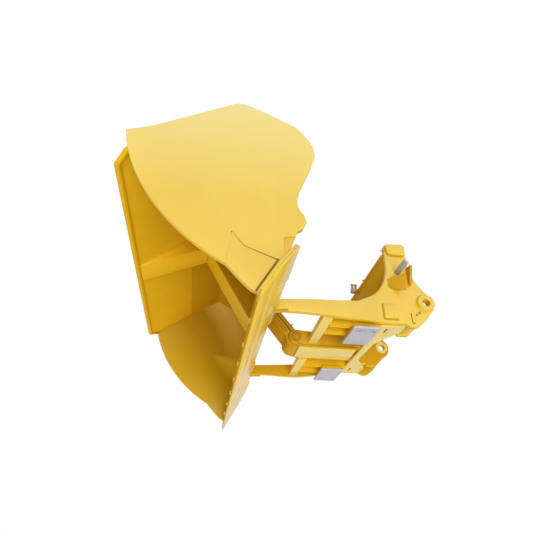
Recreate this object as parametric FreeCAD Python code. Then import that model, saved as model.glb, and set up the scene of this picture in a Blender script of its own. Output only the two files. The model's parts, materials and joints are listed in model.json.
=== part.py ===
import FreeCAD, Part
import os
from math import atan2, cos, degrees, radians, sin, sqrt, tan

# High dump bucket for a wheel loader: a wide bucket hinged on the two arms
# of a carrier frame, and pushed over by a guarded twin cylinder.
# Millimetres. The origin is the axis of the coupler pins, midway between
# the sides. +X is the machine's left, +Y points back to the loader, +Z up.
# The bucket is drawn level about its own hinge and then turned to the
# dumped position, which is the position at rest.

vec = FreeCAD.Vector

# hinge line of the bucket, seen from the coupler pins
hinge_reach = 1240.0
hinge_drop = 168.0
dump_angle = 60.0
# pivot of the cylinder, seen from the hinge line
pivot_back = 304.0
pivot_rise = 20.0
# rod pin, seen from the hinge line with the bucket level
rod_pin_y = 481.3
rod_pin_z = 515.9
# what the cylinder could still draw in when the bucket is level
stroke_spare = 0.9

# pins, bores and fits
hinge_pin_r = 30.0
coupler_bore_r = 30.5
pivot_pin_r = 35.0
rod_pin_r = 30.0
running_gap = 0.05
seat_gap = 0.1
bush_wall = 8.0

# bucket: widths and plates
bucket_width = 3000.0
side_t = 30.0
shell_t = 16.0
edge_width = 3260.0
edge_waist = 3196.0
heel_width = 2960.0
heel_step_x = 1100.0
base_t = 16.0
wear_t = 16.0
edge_drop = 50.0
edge_front = 422.0
edge_depth = 122.0
edge_waist_y = 190.0
edge_chamfer = 9.0
lip_setback = 22.0
wear_gap = 4.0
heel_y = 40.0
lip_y = 37.0
lip_half = 1372.0
lip_corner_y = 46.0
lip_w = 20.0
lip_t = 28.0
# bucket: corners of the outer skin, level, from the hinge
shell_bend_z = 88.0
shell_floor_y = 620.0
shell_floor_z = 215.0
shell_back_y = 806.0
shell_back_z = 272.0
shell_back_top = 818.0
shell_seam_y = 479.0
shell_seam_z = 1002.0
lip_z = 1225.0
bend_r = 30.0
floor_r = 260.0
back_r = 110.0
peak_r = 55.0
# bucket: edge bolts, cutters and stiffeners
bolt_head_r = 24.0
bolt_head_h = 24.0
bolt_inset = 64.0
bolt_end_gap = 345.0
bolt_spaces = 3
cutter_t = 12.0
heel_plate_t = 30.0
heel_plate_z = 62.0
heel_recess = 6.0
bar_start = 35.0
bar_solid = 60.0
stiffener_half = 130.0
stiffener_wall = 10.0
elbow_y = 483.0
elbow_z = 822.0
tunnel_foot_y = 80.0
tunnel_wall = 12.0
tunnel_gap = 6.0
slot_front = 262.0
slot_back = 478.0
# bucket: hinge hubs
hub_r = 50.0
hub_far_x = 1060.0
lug_near_x = 500.0
hub_web_t = 30.0
hub_web_inset = 12.0
hub_web_end = 150.0
hub_gap = 18.0
lug_gap = 10.0
pin_cap_r = 42.0
pin_cap_t = 10.0

# carrier: outer plates, set wider in front than at the coupler
ear_outer_x = 605.0
arm_outer_x = 745.0
arm_t = 45.0
joggle_back = 352.0
joggle_front = 780.0
joggle_back_r = 300.0
joggle_front_r = 900.0
arm_tip_r = 49.0
riser_gap = 7.0
doubler_t = 12.0
doubler_r = 44.0
doubler_back = 125.0
ear_inner_x = 350.0
ear_inner_t = 40.0
boss_r = 60.0
boss_flange_r = 69.0
boss_proud = 24.0
boss_inset = 5.0
ear_r = 71.0
# carrier: cross pieces
beam_front = 272.0
beam_back = 122.0
beam_low = 215.0
beam_high = 450.0
beam_wall = 20.0
beam_lip = 15.0
floor_front = 365.0
floor_back = 165.0
floor_front_z = -200.0
floor_back_z = -184.0
floor_t = 20.0
floor_rear_y = 298.0
floor_rear_half = 190.0
bay_half = 430.0
slot_x = 466.0
slot_y = 302.0
slot_half = 52.0
slot_r = 10.0
back_plate_y = 322.0
back_plate_t = 20.0
back_plate_lean = 50.0
rib_t = 25.0
rib_inner_x = 390.0
rib_outer_x = 547.5
rib_low = -212.0
tie_front = 840.0
tie_back = 765.0
tie_low = -205.0
tie_high = -155.0
tie_wall = 10.0
# carrier: machined skid pads under the frame
pad_in = 323.0
pad_out = 643.0
pad_front = 606.0
pad_rear = 408.0
pad_t = 18.0
block_t = 28.0
block_inset = 12.0
pad_bolt_x = 583.0
pad_bolt_pitch = 110.0
pad_bolt_mid = 500.0
pad_bolt_r = 12.0
pad_bolt_recess = 3.0
pad_bolt_hole = 15.0
pad_bolt_sink = 10.0
# carrier: centre arms of the cylinder
centre_in = 122.0
centre_t = 28.0
centre_nose_r = 60.0
centre_low = -224.0
centre_high = -97.0
centre_rear = 390.0
centre_boss_r = 52.0
centre_boss_t = 8.0
centre_boss_gap = 2.0
cover_z = -222.0
cover_t = 10.0
hub_clear = 6.0
nose_tie_back = 32.0
nose_tie_w = 32.0
nose_tie_drop = 76.0
nose_tie_h = 30.0
pivot_pin_end = 8.0
# carrier: pads and brackets on the outer faces
horn_block_t = 20.0
lug_pad_t = 15.0
lug_pad_front = 349.0
lug_pad_back = 238.0
lug_pad_low = -150.0
lug_pad_high = -29.0
bracket_out = 800.0
bracket_t = 20.0
gusset_t = 18.0
gusset_front = 285.0
gusset_back = 180.0
gusset_out = 690.0
rear_plate_y = 115.0
rear_plate_t = 20.0
fitting_r = 7.0
fitting_l = 14.0
port_x = -60.0
port_half = 22.0
port_reach = 62.0
port_low = 415.0
port_high = 452.0
port_r = 11.0
port_l = 52.0
port_pitch = 32.0
port_cap_r = 15.0
port_cap_l = 16.0

# cylinder and rod
cyl_hub_r = 74.0
cyl_block = 60.0
barrel_x = 52.0
barrel_r = 38.0
bore_r = 30.0
gland_l = 44.0
piston_l = 45.0
piston_slack = 2.0
rod_r = 18.0
guard_half = 110.0
guard_depth = 47.0
guard_t = 5.0
guard_low_side = 52.0
guard_top_side = 35.0
guard_start = 40.0
guard_end_gap = 10.0
eye_r = 38.0
cross_half = 100.0
cross_reach = 45.0
rod_pin_half = 108.0
seat_ring_r = 52.0
seat_ring_t = 4.0

# values that follow from those above
hinge = vec(0, -hinge_reach, -hinge_drop)
pivot = hinge.add(vec(0, pivot_back, pivot_rise))
dump = radians(dump_angle)
rod_pin_rest = hinge.add(vec(0, rod_pin_y * cos(dump) - rod_pin_z * sin(dump),
                             rod_pin_y * sin(dump) + rod_pin_z * cos(dump)))
cylinder_line = rod_pin_rest.sub(pivot)
cylinder_length = cylinder_line.Length
cylinder_angle = degrees(atan2(cylinder_line.z, cylinder_line.y))
drawn_in = hinge.add(vec(0, rod_pin_y, rod_pin_z)).sub(pivot).Length
stroke = cylinder_length - drawn_in + stroke_spare
riser_y = -(arm_tip_r + riser_gap)
base_top = -edge_drop + wear_t + base_t
shell_half = bucket_width / 2 - side_t
ear_outer_in = ear_outer_x - arm_t
arm_inner_x = arm_outer_x - arm_t
bush_r = hinge_pin_r + running_gap + bush_wall
hub_near_x = arm_outer_x + doubler_t + hub_gap
lug_far_x = arm_inner_x - lug_gap
centre_out = centre_in + centre_t
cyl_hub_half = centre_in - centre_boss_t - centre_boss_gap
barrel_end = cylinder_length - stroke - cross_reach
gland_start = barrel_end - gland_l
piston_rest = cyl_block + piston_slack + stroke
tunnel_half = guard_half + tunnel_gap
pad_top = rib_low - block_t
far = 2000.0


def point(p):
    return vec(0, p[0], p[1])


def unit(a, b):
    d = b.sub(a)
    return d.multiply(1 / d.Length)


def outline(points):
    """Closed edges in the YZ plane; a pair of points is an arc through the first."""
    edges = []
    here = point(points[0])
    for p in points[1:] + [points[0]]:
        if isinstance(p[0], tuple):
            there = point(p[1])
            edges.append(Part.Arc(here, point(p[0]), there).toShape())
        else:
            there = point(p)
            if there.sub(here).Length > 0.001:
                edges.append(Part.makeLine(here, there))
        here = there
    return edges


def prism(points, x0, x1):
    """A side view outline, carried from x0 to x1."""
    face = Part.Face(Part.Wire(outline(points)))
    solid = face.extrude(vec(x1 - x0, 0, 0))
    solid.translate(vec(x0, 0, 0))
    return solid


def plan(points, z0, z1):
    """An outline seen from above, carried from z0 to z1."""
    ring = [vec(x, y, z0) for x, y in points]
    face = Part.Face(Part.makePolygon(ring + [ring[0]]))
    return face.extrude(vec(0, 0, z1 - z0))


def block(x0, x1, y0, y1, z0, z1):
    return Part.makeBox(x1 - x0, y1 - y0, z1 - z0, vec(x0, y0, z0))


def rod(r, x0, x1, y, z):
    """A round bar along X."""
    return Part.makeCylinder(r, x1 - x0, vec(x0, y, z), vec(1, 0, 0))


def ring(r_out, r_in, x0, x1, y, z):
    return rod(r_out, x0, x1, y, z).cut(rod(r_in, x0 - 1, x1 + 1, y, z))


def rounded(points, radii):
    """Edges along a line of points, with a tangent arc at each inner point."""
    here = points[0]
    edges = []
    for i in range(1, len(points) - 1):
        u = unit(points[i - 1], points[i])
        v = unit(points[i], points[i + 1])
        half = u.getAngle(v) / 2
        cut = radii[i - 1] * tan(half)
        a = points[i].sub(vec(u).multiply(cut))
        b = points[i].add(vec(v).multiply(cut))
        lean = v.sub(u)
        lean.normalize()
        mid = points[i].add(lean.multiply(radii[i - 1] / cos(half) - radii[i - 1]))
        edges.append(Part.makeLine(here, a))
        edges.append(Part.Arc(a, mid, b).toShape())
        here = b
    if points[-1].sub(here).Length > 0.001:
        edges.append(Part.makeLine(here, points[-1]))
    return edges


def inside(points, wall):
    """The same line of points, moved to its left by the wall."""
    out = []
    n = len(points)
    for i in range(n):
        a = points[max(i - 1, 0)]
        b = points[min(i + 1, n - 1)]
        u = unit(a, points[i]) if i else unit(points[i], b)
        v = unit(points[i], b) if i < n - 1 else u
        m = vec(0, -u.z - v.z, u.y + v.y)
        m.normalize()
        k = wall / (m.y * -u.z + m.z * u.y)
        out.append(points[i].add(m.multiply(k)))
    return out


def strip(points, radii, wall, x0, x1):
    """A bent plate: its outer line of points, its corner radii and its wall."""
    inner = inside(points, wall)
    inner_radii = []
    for i in range(1, len(points) - 1):
        u = unit(points[i - 1], points[i])
        v = unit(points[i], points[i + 1])
        left = u.y * v.z - u.z * v.y
        inner_radii.append(radii[i - 1] - wall if left > 0 else radii[i - 1] + wall)
    edges = rounded(points, radii)
    edges.append(Part.makeLine(points[-1], inner[-1]))
    edges += rounded(inner, inner_radii)
    edges.append(Part.makeLine(inner[0], points[0]))
    face = Part.Face(Part.Wire(Part.__sortEdges__(edges)))
    solid = face.extrude(vec(x1 - x0, 0, 0))
    solid.translate(vec(x0, 0, 0))
    return solid


def mirrored(shape):
    return shape.mirror(vec(0, 0, 0), vec(1, 0, 0))


def pair(shape):
    return Part.Compound([shape, mirrored(shape)])


def turned(shape):
    """Takes a bucket piece from level about its hinge to the dumped position."""
    out = shape.copy()
    out.rotate(vec(0, 0, 0), vec(1, 0, 0), dump_angle)
    out.translate(hinge)
    return out


def aimed(shape):
    """Takes a piece drawn upright on the pivot to the cylinder's direction."""
    out = shape.copy()
    out.rotate(vec(0, 0, 0), vec(1, 0, 0), cylinder_angle - 90)
    out.translate(pivot)
    return out


pieces = {}

# shell of the bucket, from the base plate up over the back to the seam
skin = [point(p) for p in [(riser_y, base_top), (riser_y, shell_bend_z),
                           (shell_floor_y, shell_floor_z),
                           (shell_back_y, shell_back_z),
                           (shell_back_y, shell_back_top),
                           (shell_seam_y, shell_seam_z)]]
skin_radii = [bend_r, floor_r, back_r, peak_r]
skin_in = inside(skin, shell_t)
# the top plate starts where the round of the peak ends
up = unit(skin[3], skin[4])
over = unit(skin[4], skin[5])
peak_end = skin[4].add(vec(over).multiply(peak_r * tan(up.getAngle(over) / 2)))
shell = strip(skin[:5] + [peak_end], skin_radii, shell_t, -shell_half, shell_half)
shell = shell.cut(block(-tunnel_half, tunnel_half, slot_front, slot_back,
                        0, shell_back_z + shell_t))
pieces["shell"] = turned(shell)
top_plate = strip([peak_end, skin[5]], [], shell_t, -shell_half, shell_half)
pieces["top_plate"] = turned(top_plate)

# spill guard: the last plate of the skin, with a bar along its cornered lip
lip = point((-lip_y, lip_z))
guard_line = [skin[5], lip]
guard_in = inside(guard_line, shell_t)
corner_run = (shell_half - lip_half) / (lip_corner_y + lip_y)
corner_w = lip_w * sqrt(1 + corner_run * corner_run)


def guard_region(front, half, corner):
    """The guard seen from above, with both corners of its front cut off."""
    right = [(shell_half, shell_back_y), (shell_half, corner), (half, front)]
    return plan(right + [(-x, y) for x, y in reversed(right)], 0, lip_z + lip_t)


bar_region = guard_region(-lip_y, lip_half, lip_corner_y)
plate_region = guard_region(-lip_y + lip_w, lip_half + lip_w * corner_run - corner_w,
                            lip_corner_y + corner_w / corner_run)
guard = strip(guard_line, [], shell_t, -shell_half, shell_half)
pieces["spill_guard"] = turned(guard.common(plate_region).cut(top_plate))
lip_bar = strip(guard_line, [], lip_t, -shell_half, shell_half)
pieces["lip_bar"] = turned(lip_bar.common(bar_region).cut(plate_region))

# side plates: the mouth is hollowed, the back is rounded over the shell
side_line = [
    (-362, base_top), (-365, 42), (-347, 115), (-321, 194), (-310, 232),
    (-310, 264), ((-289, 490), (-205, 775)), ((-90, 995), (79, 1202)),
    (146, 1256), (258, 1162), (315, 1128), (761, 874),
    ((807, 832), (827, 772)), (838, 683), (848, 431), (836, 386),
    ((815, 336), (760, 247)), (704, 204), (587, 173), (384, 144), (322, 125),
    ((262, 88), (234, 37)), (196, -3), (138, -7), (105, 8), (34, -4),
    (-29, base_top)]
heel_cut = prism([(24, 55), (57, 21), (75, -30), (-62, -30), (-62, base_top), (-69, 3)],
                 shell_half, bucket_width / 2)
whole_side = prism(side_line, shell_half, bucket_width / 2)
side = whole_side.cut(heel_cut)
pieces["side_plate_left"] = turned(side)
pieces["side_plate_right"] = turned(mirrored(side))
# gusset behind the heel, with a tongue that fills the cut a little below the face
heel_plate = prism([(riser_y, base_top), (riser_y, 45), (20, heel_plate_z), (62, 22),
                    (-10, base_top)],
                   shell_half - heel_plate_t, shell_half)
tongue = whole_side.common(heel_cut)
tongue = tongue.common(block(shell_half, bucket_width / 2 - heel_recess, -far, far, -far, far))
pieces["heel_gussets"] = turned(pair(heel_plate.fuse(tongue)))

# base plate, cutting edge and wear plate
half_e = edge_width / 2
half_w = edge_waist / 2
half_h = heel_width / 2
edge_rear = -edge_front + edge_depth


def half_width(y):
    """Half the width of the base at a distance from the hinge, seen from above."""
    if y < -edge_waist_y:
        part = (y + edge_front) / (edge_front - edge_waist_y)
        return half_e + (half_w - half_e) * part
    part = (y + edge_waist_y) / (edge_waist_y + heel_y)
    return half_w + (half_h - half_w) * part


def base_plan(front, rear, z0, z1):
    """The base between two lines across it, stepped back between the hinges."""
    side_ys = [front, -edge_waist_y, rear] if front < -edge_waist_y < rear else [front, rear]
    right = [(half_width(y), y) for y in side_ys]
    if rear > riser_y:
        right += [(heel_step_x, rear), (heel_step_x, riser_y)]
    left = [(-x, y) for x, y in reversed(right)]
    return plan(right + left, z0, z1)


base = base_plan(-edge_front + lip_setback, heel_y, base_top - base_t, base_top)
pieces["base_plate"] = turned(base)
edge = base_plan(-edge_front, edge_rear, -edge_drop, base_top - base_t)
nose = prism([(-edge_front - 1, -edge_drop - 1), (-edge_front + edge_chamfer, -edge_drop - 1),
              (-edge_front - 1, -edge_drop + edge_chamfer)], -half_e - 1, half_e + 1)
pieces["cutting_edge"] = turned(edge.cut(nose))
wear = base_plan(edge_rear + wear_gap, heel_y, -edge_drop, base_top - base_t)
pieces["heel_wear_plate"] = turned(wear)

heads = []
bolt_pitch = (bucket_width / 2 - bolt_end_gap) / bolt_spaces
for i in range(-bolt_spaces, bolt_spaces + 1):
    heads.append(Part.makeCylinder(bolt_head_r, bolt_head_h,
                                   vec(i * bolt_pitch, -edge_front + bolt_inset, base_top)))
pieces["edge_bolts"] = turned(Part.Compound(heads))

# cutters on the front corners of the side plates
cutter_line = [(-316, 226), (-121, 311), (-166, 205), (-134, base_top), (-362, base_top),
               (-368, 42), (-350, 115), (-324, 194)]
cutter = prism(cutter_line, bucket_width / 2, bucket_width / 2 + cutter_t)
pieces["side_cutter_left"] = turned(cutter)
pieces["side_cutter_right"] = turned(mirrored(cutter))

# hollow stiffener under the spill guard, deepest at the elbow
lip_in = guard_in[1]
seam_in = guard_in[0]
roof = unit(lip_in, seam_in)


def roof_z(y):
    return lip_in.z + (y - lip_in.y) * roof.z / roof.y


bar_tip = (lip_in.y + bar_start, roof_z(lip_in.y + bar_start))
bar_line = [bar_tip, (bar_tip[0] + 3, bar_tip[1] - 14), (elbow_y, elbow_z),
            (elbow_y, skin_in[5].z + (elbow_y - skin_in[5].y) * over.z / over.y),
            (seam_in.y, seam_in.z)]
bar_slope = atan2(elbow_z - bar_tip[1] + 14, elbow_y - bar_tip[0] - 3)
lift = stiffener_wall / cos(bar_slope)
hollow_y = bar_tip[0] + bar_solid
stiffener = prism(bar_line, -stiffener_half, stiffener_half)
hollow = prism([(hollow_y, elbow_z + lift - (elbow_y - hollow_y) * tan(bar_slope)),
                (elbow_y + 1, elbow_z + lift), (elbow_y + 1, lip_z), (hollow_y, lip_z)],
               -stiffener_half + stiffener_wall, stiffener_half - stiffener_wall)
pieces["top_stiffener"] = turned(stiffener.cut(hollow).cut(top_plate))

# tunnel of the cylinder: a front plate and two side plates, back to the skin
floor_u = unit(skin_in[1], skin_in[2])
foot = (tunnel_foot_y, skin_in[1].z + (tunnel_foot_y - skin_in[1].y) * floor_u.z / floor_u.y)
front_u = unit(point(foot), point((elbow_y, elbow_z)))
back_n = vec(0, front_u.z, -front_u.y).multiply(tunnel_wall)
foot_back_y = foot[0] + tunnel_wall / (front_u.z - front_u.y * floor_u.z / floor_u.y)
foot_back = (foot_back_y, skin_in[1].z + (foot_back_y - skin_in[1].y) * floor_u.z / floor_u.y)
front_plate = prism([foot, (elbow_y, elbow_z),
                     (elbow_y + back_n.y, elbow_z + back_n.z), foot_back],
                    -tunnel_half - tunnel_wall, tunnel_half + tunnel_wall)
pieces["tunnel_front_plate"] = turned(front_plate)
side_region = prism([foot_back, (elbow_y + back_n.y, elbow_z + back_n.z),
                     (elbow_y, elbow_z), (elbow_y, far), (far, far), (far, -far),
                     (foot_back[0], -far)], tunnel_half, tunnel_half + tunnel_wall)
room_line = [(p.y, p.z) for p in inside(skin, shell_t)]
room = Part.Face(Part.Wire(Part.__sortEdges__(
    rounded(inside(skin, shell_t), [bend_r + shell_t, floor_r - shell_t, back_r - shell_t,
                                    peak_r - shell_t])
    + [Part.makeLine(point(room_line[-1]), point((-far, room_line[-1][1]))),
       Part.makeLine(point((-far, room_line[-1][1])), point((-far, room_line[0][1]))),
       Part.makeLine(point((-far, room_line[0][1])), point(room_line[0]))])))
room = room.extrude(vec(tunnel_wall, 0, 0))
room.translate(vec(tunnel_half, 0, 0))
tunnel_side = side_region.common(room)
tunnel_side = tunnel_side.cut(rod(rod_pin_r + seat_gap, 0, 2 * tunnel_half,
                                  rod_pin_y, rod_pin_z))
pieces["tunnel_side_left"] = turned(tunnel_side)
pieces["tunnel_side_right"] = turned(mirrored(tunnel_side))

# seats of the rod pin in the tunnel's sides, each with a flange inside
seat = rod(rod_pin_r, tunnel_half, tunnel_half + tunnel_wall, rod_pin_y, rod_pin_z)
seat = seat.fuse(rod(seat_ring_r, tunnel_half - seat_ring_t, tunnel_half, rod_pin_y, rod_pin_z))
pieces["rod_pin_seats"] = turned(pair(seat))

# hinge hubs: a tube with two webs that stand on the skin
skin_u = unit(skin[1], skin[2])
bend_half = unit(skin[0], skin[1]).getAngle(skin_u) / 2
bend_cut = bend_r * tan(bend_half)
web_line = [(riser_y, base_top), (riser_y, shell_bend_z - bend_cut),
            (riser_y + bend_cut * skin_u.y, shell_bend_z + bend_cut * skin_u.z),
            (hub_web_end, shell_bend_z + (hub_web_end - riser_y) * skin_u.z / skin_u.y),
            (hub_r * 0.8, -hub_r * 0.6)]


def hub(x0, x1):
    out = rod(hub_r, x0, x1, 0, 0)
    for x in (x0 + hub_web_inset, x1 - hub_web_inset - hub_web_t):
        out = out.fuse(prism(web_line, x, x + hub_web_t))
    out = out.cut(rod(hinge_pin_r + running_gap, x0 - 1, x1 + 1, 0, 0))
    return out.removeSplitter()


for name, x0, x1 in (("hinge_hub", hub_near_x, hub_far_x), ("hinge_lug", lug_near_x, lug_far_x)):
    piece = hub(x0, x1)
    pieces[name + "_left"] = turned(piece)
    pieces[name + "_right"] = turned(mirrored(piece))

pin = rod(hinge_pin_r, lug_near_x - pin_cap_t, hub_far_x, 0, 0)
pin = pin.fuse(rod(pin_cap_r, hub_far_x, hub_far_x + pin_cap_t, 0, 0))
pieces["hinge_pins"] = turned(pair(pin))

# carrier: the outer plate with its arm in front, its horn above and its ear behind
hy = -hinge_reach
hz = -hinge_drop
arm_line = [
    (hy, hz - arm_tip_r), (-1130, -205), (-1000, -206), ((-880, -212), (-760, -216)),
    (-658, -211), (-401, -190),
    (-193, -180), (-168, -187), ((-111, -206), (-78, -194)), ((-16, -143), (32, -79)),
    ((ear_r, -6), (45, 60)), (-19, 137), ((-74, 240), (-97, 360)), (-92, 489),
    ((-97, 525), (-123, 541)), (-250, 528), ((-265, 520), (-272, 500)), (-279, 355),
    ((-345, 117), (-507, -16)), ((-575, -54), (-640, -66)),
    (-694, -79), (-783, -93), (hy + 70, -119),
    (hy, hz + arm_tip_r), ((hy - arm_tip_r, hz), (hy, hz - arm_tip_r))]


def joggle(z):
    """The outer face of the plate, seen from above."""
    bends = [vec(arm_outer_x, hy - 2 * arm_tip_r, z), vec(arm_outer_x, -joggle_front, z),
             vec(ear_outer_x, -joggle_back, z), vec(ear_outer_x, 2 * ear_r, z)]
    return rounded(bends, [joggle_front_r, joggle_back_r]), bends


outer_face, bends = joggle(-hinge_reach)
inner_face = [edge.translated(vec(-arm_t, 0, 0)) for edge in outer_face]
ends = [Part.makeLine(p, p.sub(vec(arm_t, 0, 0))) for p in (bends[0], bends[-1])]
band = Part.Face(Part.Wire(Part.__sortEdges__(outer_face + inner_face + ends)))
arm = prism(arm_line, 0, arm_outer_x + 1)
arm = arm.common(band.extrude(vec(0, 0, 2 * hinge_reach)))
arm = arm.cut(rod(bush_r + seat_gap, 0, 2 * arm_outer_x, hy, hz))
arm = arm.cut(rod(boss_r + seat_gap, 0, 2 * arm_outer_x, 0, 0))
pieces["carrier_plate_left"] = arm
pieces["carrier_plate_right"] = mirrored(arm)

doubler_line = [(hy, hz - doubler_r), (hy + doubler_back, hz - doubler_r + 14),
                (hy + doubler_back, hz + doubler_r - 6), (hy, hz + doubler_r),
                ((hy - doubler_r, hz), (hy, hz - doubler_r))]
doubler = prism(doubler_line, arm_outer_x, arm_outer_x + doubler_t)
doubler = doubler.cut(rod(bush_r + seat_gap, 0, 2 * arm_outer_x, hy, hz))
pieces["tip_doublers"] = pair(doubler)
pieces["arm_tip_bushes"] = pair(ring(bush_r, hinge_pin_r + running_gap,
                                     arm_inner_x, arm_outer_x + doubler_t, hy, hz))

# plates and pads on the outer face
horn_line = [(-118, 424), ((-109, 428), (-105, 440)), (-103, 500), ((-109, 519), (-128, 527)),
             (-245, 521), ((-254, 517), (-258, 506)), (-256, 452), ((-247, 431), (-226, 424))]
pieces["horn_blocks"] = pair(prism(horn_line, ear_outer_x, ear_outer_x + horn_block_t))
lug_pad = block(ear_outer_x - 1, ear_outer_x + lug_pad_t, -lug_pad_front, -lug_pad_back,
                lug_pad_low, lug_pad_high)
lug_pad = lug_pad.cut(block(0, ear_outer_x, -lug_pad_front, -lug_pad_back,
                            lug_pad_low, lug_pad_high)).cut(arm)
pieces["lug_pads"] = pair(lug_pad)

pad_a = (-219.0, 262.0)
pad_b = (-190.0, 229.0)
pad_u = unit(point(pad_a), point(pad_b))
pad_n = vec(0, -pad_u.z, pad_u.y).multiply(bracket_t)
bracket_line = [pad_a, pad_b, (pad_b[0] + pad_n.y, pad_b[1] + pad_n.z),
                (pad_a[0] + pad_n.y, pad_a[1] + pad_n.z)]
pieces["bracket_pads"] = pair(prism(bracket_line, ear_outer_x, bracket_out))
gusset_a = vec(ear_outer_x, -gusset_front, 0)
gusset_b = vec(gusset_out, -gusset_back, 0)
gusset_u = unit(gusset_a, gusset_b)
gusset_c = gusset_b.add(vec(-gusset_u.y, gusset_u.x, 0).multiply(gusset_t))
gusset_line = [(-300, 122), (-gusset_front, 124), (-150, 56), (-150, 216), (-300, 193)]
gusset = plan([(gusset_a.x, gusset_a.y), (gusset_b.x, gusset_b.y), (gusset_c.x, gusset_c.y),
               (ear_outer_x, -gusset_front + gusset_t / gusset_u.x)], 0, pad_b[1])
pieces["bracket_gussets"] = pair(gusset.common(prism(gusset_line, ear_outer_x, gusset_out)))
rear_ring = [vec(x, -rear_plate_y, z) for x, z in ((ear_outer_x, 148), (638, 151), (690, 288),
                                                   (682, 296), (ear_outer_x, 303),
                                                   (ear_outer_x, 148))]
rear_plate = Part.Face(Part.makePolygon(rear_ring)).extrude(vec(0, rear_plate_t, 0))
pieces["bracket_rear_plates"] = pair(rear_plate)

# inner ears of the coupler, standing on the bottom plate


def floor_top(y):
    part = (y + floor_front) / (floor_front - floor_back)
    return floor_front_z + floor_t + (floor_back_z - floor_front_z) * part


ear_line = [(-floor_front, floor_top(-floor_front)), (-floor_back, floor_top(-floor_back)),
            (-floor_back, floor_back_z), (-86, floor_back_z), ((-74, -181), (-64, -173)),
            (8, -100), ((ear_r, -4), (40, 64)), (-19, 140),
            (-60, beam_low), (-beam_front, beam_low), ((-310, 150), (-floor_front, 90))]
ear = prism(ear_line, ear_inner_x, ear_inner_x + ear_inner_t)
ear = ear.cut(rod(boss_r + seat_gap, 0, 2 * ear_inner_x, 0, 0))
pieces["inner_ear_left"] = ear
pieces["inner_ear_right"] = mirrored(ear)

outer_boss = rod(boss_r, ear_outer_in - boss_inset, ear_outer_x, 0, 0)
outer_boss = outer_boss.fuse(rod(boss_flange_r, ear_outer_x, ear_outer_x + boss_proud, 0, 0))
inner_boss = rod(boss_r, ear_inner_x - boss_inset, ear_inner_x + ear_inner_t + boss_inset, 0, 0)
bosses = []
for piece in (outer_boss, inner_boss):
    piece = piece.cut(rod(coupler_bore_r, 0, 2 * ear_outer_x, 0, 0))
    bosses += [piece, mirrored(piece)]
pieces["coupler_bosses"] = Part.Compound(bosses)

# ribs that run forward under the frame, and the ties in front of them
rib_line = [(-tie_back, rib_low), (-floor_front, rib_low), (-floor_front, -30),
            (-tie_back, -115)]
ribs = []
for x in (rib_inner_x, rib_outer_x):
    rib = prism(rib_line, x - rib_t / 2, x + rib_t / 2)
    ribs += [rib, mirrored(rib)]
pieces["bay_ribs"] = Part.Compound(ribs)


tie = block(centre_out, arm_outer_x, -tie_front, -tie_back, tie_low, tie_high)
tie = tie.cut(block(centre_out, arm_outer_x, -tie_front + tie_wall, -tie_back - tie_wall,
                    tie_low + tie_wall, tie_high - tie_wall))
tie = tie.common(plan([(0, -tie_front), (0, -tie_back), (arm_inner_x, -tie_back),
                       (arm_inner_x, -tie_front)], tie_low, tie_high)).cut(arm)
pieces["crossmember_left"] = tie
pieces["crossmember_right"] = mirrored(tie)

# skid pads: a machined plate on a block, held by two sunk bolts
pad = block(pad_in, pad_out, -pad_front, -pad_rear, pad_top - pad_t, pad_top)
pad_block = block(pad_in + block_inset, rib_outer_x + rib_t / 2 + block_inset,
                  -pad_front + block_inset, -pad_rear - block_inset, pad_top, rib_low)
bolts = []
for s in (-1, 1):
    y = -pad_bolt_mid + s * pad_bolt_pitch / 2
    low = pad_top - pad_t
    pad = pad.cut(Part.makeCylinder(pad_bolt_hole, pad_bolt_sink, vec(pad_bolt_x, y, low)))
    bolt = Part.makeCylinder(pad_bolt_r, pad_bolt_sink - pad_bolt_recess,
                             vec(pad_bolt_x, y, low + pad_bolt_recess))
    bolts += [bolt, mirrored(bolt)]
pieces["skid_pads"] = pair(pad)
pieces["skid_blocks"] = pair(pad_block)
pieces["skid_bolts"] = Part.Compound(bolts)

# bottom plate between the outer plates, with its arched rear edge and two slots
floor_line = [(-floor_front, floor_front_z), (-floor_back, floor_back_z),
              (-floor_back, floor_back_z + floor_t), (-floor_front, floor_front_z + floor_t)]
floor = prism(floor_line, -ear_outer_in - 5, ear_outer_in + 5).cut(arm).cut(mirrored(arm))
arch = [vec(floor_rear_half, -floor_rear_y, 0), vec(331, -222, 0), vec(bay_half, -floor_back, 0)]
far_arch = [vec(-p.x, p.y, 0) for p in reversed(arch)]
bay = Part.Face(Part.Wire([
    Part.Arc(*arch).toShape(), Part.makeLine(arch[2], vec(bay_half, 0, 0)),
    Part.makeLine(vec(bay_half, 0, 0), vec(-bay_half, 0, 0)),
    Part.makeLine(vec(-bay_half, 0, 0), far_arch[0]), Part.Arc(*far_arch).toShape(),
    Part.makeLine(far_arch[2], arch[0])])).extrude(vec(0, 0, 2 * floor_front_z))
floor = floor.cut(bay)
for s in (-1, 1):
    floor = floor.cut(block(s * slot_x - slot_half, s * slot_x + slot_half,
                            -slot_y - slot_r, -slot_y + slot_r, 2 * floor_front_z, 0))
pieces["bottom_plate"] = floor

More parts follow.
